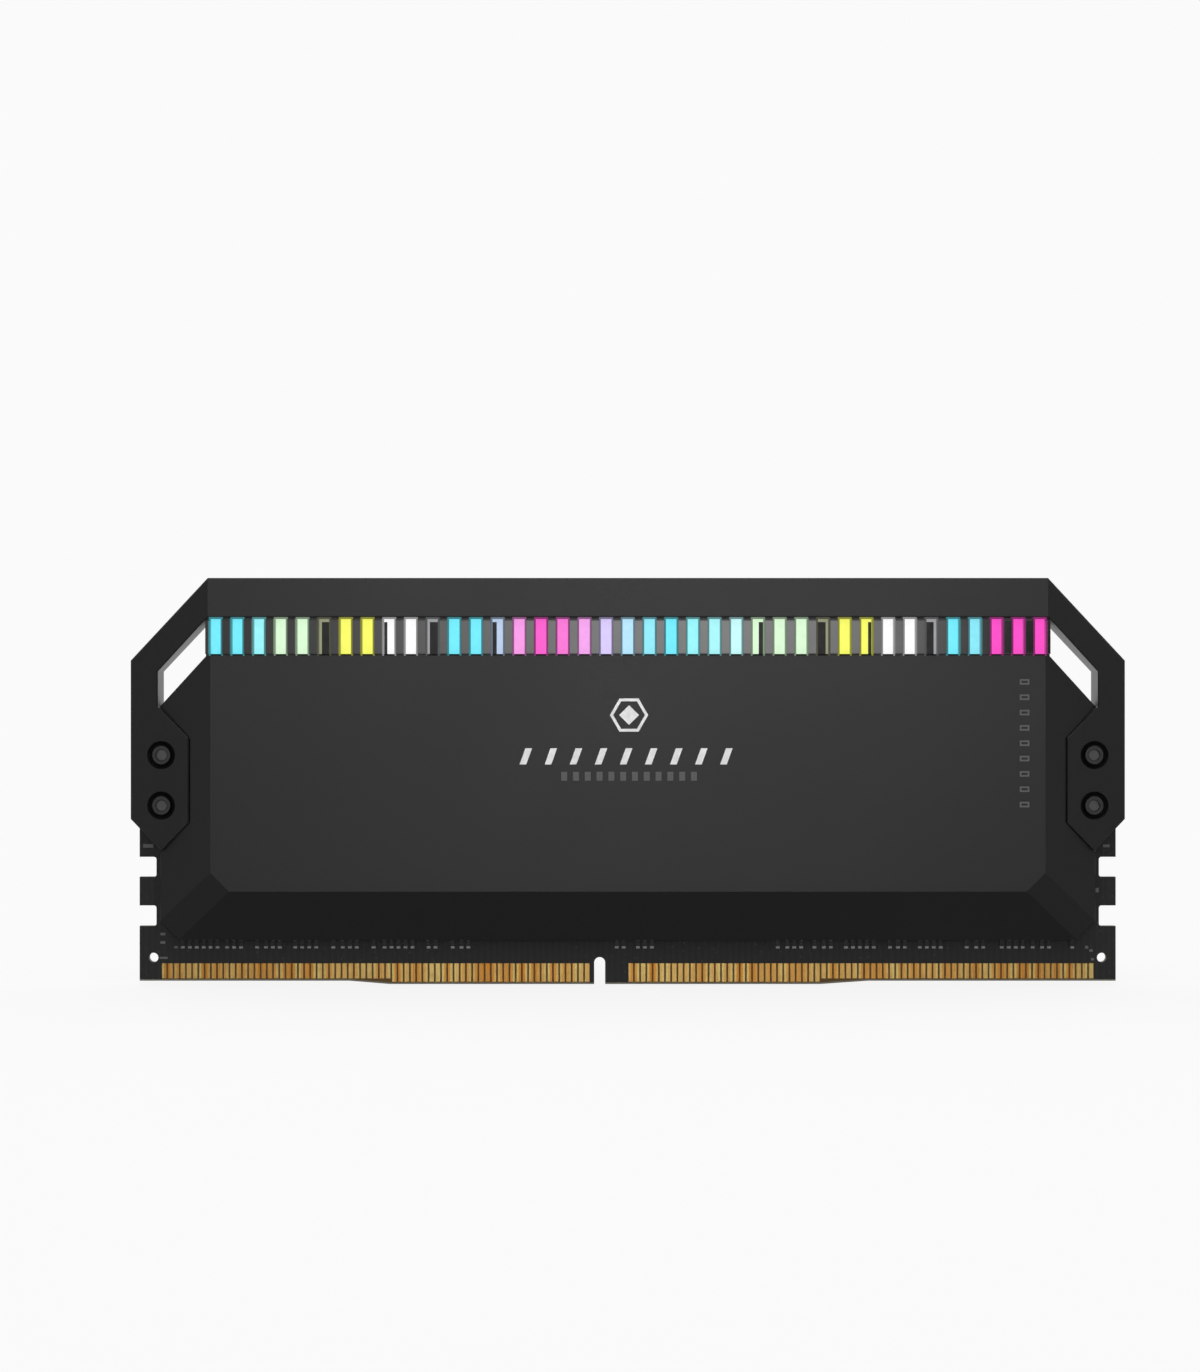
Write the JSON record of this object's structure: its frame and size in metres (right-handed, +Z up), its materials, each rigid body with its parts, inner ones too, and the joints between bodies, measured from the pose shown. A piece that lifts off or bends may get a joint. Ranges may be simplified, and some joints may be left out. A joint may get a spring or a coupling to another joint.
{
  "type": "memory module",
  "caption": "Memory module: card edge contacts and latch notches below, bevelled black heat spreaders on both faces, and a top frame with slotted, lit grilles.",
  "frame": {"origin": "on the board's middle plane, at the middle of the card edge's lowest line", "axes": "+X along the board to the right as seen from the front, +Y through the board towards the rear face, +Z up from the card edge to the lit top"},
  "size_m": [0.1352, 0.008, 0.0554],
  "materials": {
    "board": "matt black solder mask over glass-fibre board",
    "board_ink": "screen-printed legend ink",
    "gold": "hard gold plating on copper",
    "chip_black": "moulded epoxy",
    "inductor": "pressed iron powder",
    "capacitor": "fired ceramic",
    "resistor": "glazed ceramic",
    "terminal": "bright tin",
    "thermal_pad": "soft silicone gap filler",
    "spreader": "black anodised, fine bead blast",
    "frame": "black anodised, fine bead blast",
    "screw": "black oxide",
    "grille": "glossy smoke black",
    "light": "frosted acrylic, lit from below in coloured zones",
    "carrier": "black moulded",
    "led_board": "black solder mask",
    "led": "white package with clear resin",
    "flex": "polyimide film",
    "socket": "ivory nylon",
    "print_bright": "light grey printed ink",
    "print_dim": "dark grey printed ink"
  },
  "bodies": {
    "root": {"circuit_board": "board", "board_legend": "board_ink", "contacts_front_left": "gold", "contacts_front_right": "gold", "contacts_rear_left": "gold", "contacts_rear_right": "gold", "dram_chip_1": "chip_black", "dram_chip_2": "chip_black", "dram_chip_3": "chip_black", "dram_chip_4": "chip_black", "dram_chip_5": "chip_black", "dram_chip_6": "chip_black", "dram_chip_7": "chip_black", "dram_chip_8": "chip_black", "power_management_chip": "chip_black", "hub_chip": "chip_black", "power_inductors": "inductor", "decoupling_capacitors": "capacitor", "series_resistors": "resistor", "resistor_terminals": "terminal", "thermal_pad_left": "thermal_pad", "thermal_pad_right": "thermal_pad", "thermal_pad_power": "thermal_pad", "thermal_pad_rear": "thermal_pad", "front_heatspreader": "spreader", "rear_heatspreader": "spreader", "top_frame": "frame", "arm_screws_front": "screw", "arm_screws_rear": "screw", "front_grille": "grille", "rear_grille": "grille", "light_guide": "light", "light_carrier": "carrier", "led_board": "led_board", "leds": "led", "led_flex": "flex", "flex_socket": "socket", "front_print_bright": "print_bright", "rear_print_bright": "print_bright", "front_print_dim": "print_dim", "rear_print_dim": "print_dim"}
  },
  "joints": []
}
